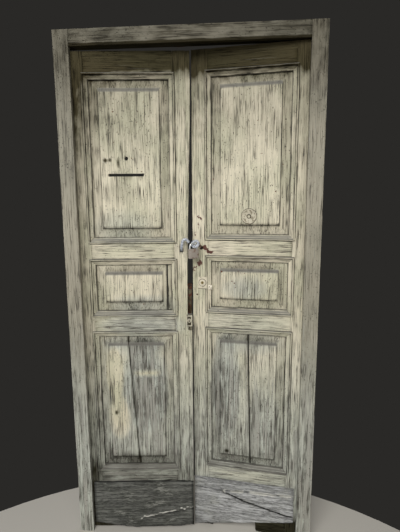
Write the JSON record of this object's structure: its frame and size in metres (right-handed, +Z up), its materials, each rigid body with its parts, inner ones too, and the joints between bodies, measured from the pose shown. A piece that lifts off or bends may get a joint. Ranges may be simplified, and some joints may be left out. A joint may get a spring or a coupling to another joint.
{
  "type": "double-leaf panelled entrance door with frame",
  "caption": "Old wooden double door with raised panels, worn cream paint, letter slot, rim lock and a padlocked sleeved chain, standing ajar in its rebated frame.",
  "frame": {"origin": "floor level at the middle of the doorway, in the plane of the closed leaves' outer faces", "axes": "+X along the wall to the right seen from outside, +Y into the house, +Z up"},
  "size_m": [1.19, 0.1845, 2.462],
  "materials": {
    "painted_wood": "weathered paint",
    "bare_board": "bare and grimy",
    "frame_wood": "weathered paint",
    "iron": "rusted",
    "painted_iron": "painted over",
    "brass": "tarnished",
    "bright_steel": "satin",
    "padlock_metal": "dull",
    "chain_sleeve": "hazy"
  },
  "bodies": {
    "frame": {"frame_jamb_left": "frame_wood", "frame_jamb_right": "frame_wood", "frame_head": "frame_wood", "frame_bolt_keep": "iron", "left_hinge_frame_flaps": "iron", "right_hinge_frame_flaps": "iron", "left_hinge_pins": "iron", "right_hinge_pins": "iron"},
    "left_leaf": {"left_hinge_stile": "painted_wood", "left_meeting_stile": "painted_wood", "left_edge_lipping": "painted_wood", "left_top_rail": "painted_wood", "left_upper_lock_rail": "painted_wood", "left_lower_lock_rail": "painted_wood", "left_bottom_rail": "painted_wood", "left_upper_panel": "painted_wood", "left_middle_panel": "painted_wood", "left_lower_panel": "painted_wood", "left_upper_moulding": "painted_wood", "left_middle_moulding": "painted_wood", "left_lower_moulding": "painted_wood", "left_kickboard": "bare_board", "left_hinge_leaf_flaps": "iron", "left_cover_strip": "painted_wood", "left_strip_capital": "painted_wood", "left_top_bolt_guide": "iron", "left_bottom_bolt_guide": "iron", "left_lock_keep": "iron", "left_chain": "chain_sleeve"},
    "right_leaf": {"right_hinge_stile": "painted_wood", "right_meeting_stile": "painted_wood", "right_top_rail": "painted_wood", "right_upper_lock_rail": "painted_wood", "right_lower_lock_rail": "painted_wood", "right_bottom_rail": "painted_wood", "right_upper_panel": "painted_wood", "right_middle_panel": "painted_wood", "right_lower_panel": "painted_wood", "right_upper_moulding": "painted_wood", "right_middle_moulding": "painted_wood", "right_lower_moulding": "painted_wood", "right_kickboard": "bare_board", "right_hinge_leaf_flaps": "iron", "right_lock_plate": "painted_iron", "right_lock_cylinder": "brass", "right_lock_case": "painted_iron", "right_rose": "painted_iron", "right_chain": "chain_sleeve", "padlock_shackle": "bright_steel"},
    "left_top_bolt": {"left_top_bolt": "iron"},
    "left_bottom_bolt": {"left_bottom_bolt": "iron"},
    "lock_knob": {"right_lock_knob": "brass"},
    "lock_bolt": {"right_lock_bolt": "iron"},
    "lock_plug": {"right_lock_plug": "brass"},
    "padlock_body": {"padlock_body": "padlock_metal"},
    "padlock_plug": {"padlock_plug": "brass"}
  },
  "joints": [
    {"name": "left_leaf_swing", "type": "hinge", "parent": "frame", "child": "left_leaf", "pos_m": [-0.5395, 0.053, 0], "axis": [0, 0, 1], "range_deg": [-4.7, 90.3]},
    {"name": "right_leaf_swing", "type": "hinge", "parent": "frame", "child": "right_leaf", "pos_m": [0.5395, 0.053, 0], "axis": [0, 0, -1], "range_deg": [-8, 87]},
    {"name": "top_bolt_slide", "type": "slide", "parent": "left_leaf", "child": "left_top_bolt", "axis": [0, 0, 1], "range_m": [0, 0.035]},
    {"name": "bottom_bolt_slide", "type": "slide", "parent": "left_leaf", "child": "left_bottom_bolt", "axis": [0, 0, -1], "range_m": [0, 0.03]},
    {"name": "lock_knob_turn", "type": "hinge", "parent": "right_leaf", "child": "lock_knob", "pos_m": [0.05691, 0.0976, 1.325], "axis": [-0.1392, -0.9903, 0], "range_deg": [0, 90]},
    {"name": "lock_bolt_slide", "type": "slide", "parent": "right_leaf", "child": "lock_bolt", "axis": [-0.9903, 0.1392, 0], "range_m": [0, 0.02]},
    {"name": "lock_plug_turn", "type": "hinge", "parent": "right_leaf", "child": "lock_plug", "pos_m": [0.05691, 0.0976, 1.325], "axis": [-0.1392, -0.9903, 0], "range_deg": [0, 90]},
    {"name": "padlock_release", "type": "slide", "parent": "right_leaf", "child": "padlock_body", "axis": [0, 0, -1], "range_m": [0, 0.01]},
    {"name": "padlock_plug_turn", "type": "hinge", "parent": "padlock_body", "child": "padlock_plug", "pos_m": [0.0125, 0.03, 1.46], "axis": [0, 0, -1], "range_deg": [0, 90]}
  ],
  "couplings": [
    {"joint": "lock_knob_turn", "follows": "lock_bolt_slide", "rad_per_m": 78.5},
    {"joint": "lock_plug_turn", "follows": "lock_bolt_slide", "rad_per_m": 78.5}
  ]
}
